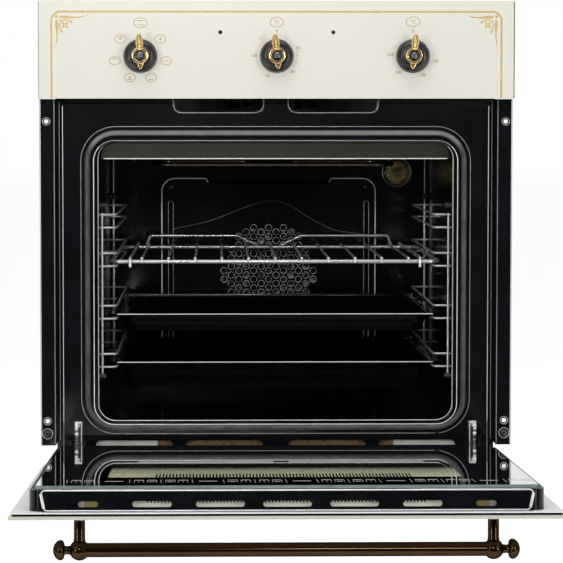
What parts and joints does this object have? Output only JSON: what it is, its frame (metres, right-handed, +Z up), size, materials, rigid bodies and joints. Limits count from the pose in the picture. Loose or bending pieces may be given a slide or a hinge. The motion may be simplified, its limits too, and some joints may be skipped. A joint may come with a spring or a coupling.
{
  "type": "built-in oven",
  "caption": "Built-in electric oven with its drop-down door open: classic control panel, rack, trays, side racks, fan cover and a bronze bar handle.",
  "frame": {"origin": "middle of the front edge of the casing's base, in the plane of the front frame", "axes": "+X to the right seen from the front, +Y back into the cabinet, +Z up"},
  "size_m": [0.595, 1.0103, 0.6226],
  "materials": {
    "cream_enamel": "smooth glossy cream enamel",
    "black_enamel": "glossy black enamel",
    "galvanised": "galvanised sheet",
    "chrome_wire": "bright chromed wire",
    "zinc_steel": "bright zinc plated steel",
    "heater_steel": "heat-tinted steel tube",
    "seal_rubber": "matt silicone seal",
    "gold": "polished gold plating",
    "gunmetal": "gunmetal black",
    "gem": "dark polished cabochon",
    "bronze": "antique bronze",
    "door_glass": "tempered glass",
    "lamp_glass": "ribbed clear glass",
    "mineral_wool": "brown mineral wool",
    "control_plastic": "moulded plastic",
    "dark_plastic": "dark moulded plastic",
    "lens": "dark lens"
  },
  "bodies": {
    "oven_body": {"casing_base": "galvanised", "casing_left_side": "galvanised", "casing_right_side": "galvanised", "casing_top": "galvanised", "casing_back": "galvanised", "front_frame": "black_enamel", "mounting_flange_left": "black_enamel", "mounting_flange_right": "black_enamel", "screws": "zinc_steel", "door_gasket": "seal_rubber", "cavity_wrapper": "black_enamel", "cavity_back": "black_enamel", "fan_cover": "black_enamel", "fan_motor": "galvanised", "grill_element": "heater_steel", "base_element": "heater_steel", "ring_element": "heater_steel", "grill_shield": "zinc_steel", "lamp_glass": "lamp_glass", "lamp_bulb": "lamp_glass", "lamp_socket": "control_plastic", "insulation": "mineral_wool", "side_rack_left": "chrome_wire", "side_rack_right": "chrome_wire", "rack_studs": "zinc_steel", "control_panel": "cream_enamel", "control_chassis": "galvanised", "indicator_lenses": "lens", "selector_switch": "control_plastic", "timer_unit": "control_plastic", "thermostat_unit": "control_plastic", "thermostat_probe": "zinc_steel", "hinge_arms": "zinc_steel", "hinge_receptacles": "galvanised", "cooling_blower_housing": "galvanised", "terminal_block": "dark_plastic"},
    "door": {"door_outer_panel": "cream_enamel", "door_frame": "black_enamel", "door_bottom_rail": "black_enamel", "door_inner_glass": "door_glass", "door_outer_window": "door_glass", "door_middle_glass": "door_glass", "door_hinge_bodies": "zinc_steel", "handle_posts": "bronze", "handle_bar": "bronze"},
    "rack": {"wire_rack": "chrome_wire", "rack_fence": "chrome_wire"},
    "upper_tray": {"tray_upper": "black_enamel"},
    "lower_tray": {"tray_lower": "black_enamel"},
    "fan": {"fan_impeller": "zinc_steel"},
    "cooling_fan": {"cooling_impeller": "dark_plastic"},
    "function_knob": {"knob_function_base": "gunmetal", "knob_function_pointer": "gold", "knob_function_gem": "gem"},
    "timer_knob": {"knob_timer_base": "gunmetal", "knob_timer_pointer": "gold", "knob_timer_gem": "gem"},
    "thermostat_knob": {"knob_thermostat_base": "gunmetal", "knob_thermostat_pointer": "gold", "knob_thermostat_gem": "gem"}
  },
  "joints": [
    {"name": "door_hinge", "type": "hinge", "parent": "oven_body", "child": "door", "pos_m": [0, -0.023, 0.02], "axis": [-1, 0, 0], "range_deg": [0, 87.4]},
    {"name": "function_turn", "type": "hinge", "parent": "oven_body", "child": "function_knob", "pos_m": [-0.17, -0.038, 0.526], "axis": [0, 1, 0], "continuous": true},
    {"name": "timer_turn", "type": "hinge", "parent": "oven_body", "child": "timer_knob", "pos_m": [0, -0.038, 0.526], "axis": [0, 1, 0], "range_deg": [-38, 277]},
    {"name": "thermostat_turn", "type": "hinge", "parent": "oven_body", "child": "thermostat_knob", "pos_m": [0.17, -0.038, 0.526], "axis": [0, 1, 0], "range_deg": [-6, 262]},
    {"name": "rack_slide", "type": "slide", "parent": "oven_body", "child": "rack", "axis": [0, 1, 0], "range_m": [-0.3, 0]},
    {"name": "upper_tray_slide", "type": "slide", "parent": "oven_body", "child": "upper_tray", "axis": [0, 1, 0], "range_m": [-0.3, 0]},
    {"name": "lower_tray_slide", "type": "slide", "parent": "oven_body", "child": "lower_tray", "axis": [0, 1, 0], "range_m": [-0.3, 0]},
    {"name": "fan_spin", "type": "hinge", "parent": "oven_body", "child": "fan", "pos_m": [0, 0.4, 0.2225], "axis": [0, 1, 0], "continuous": true},
    {"name": "cooling_fan_spin", "type": "hinge", "parent": "oven_body", "child": "cooling_fan", "pos_m": [0, 0.19, 0.46], "axis": [0, 0, 1], "continuous": true}
  ]
}
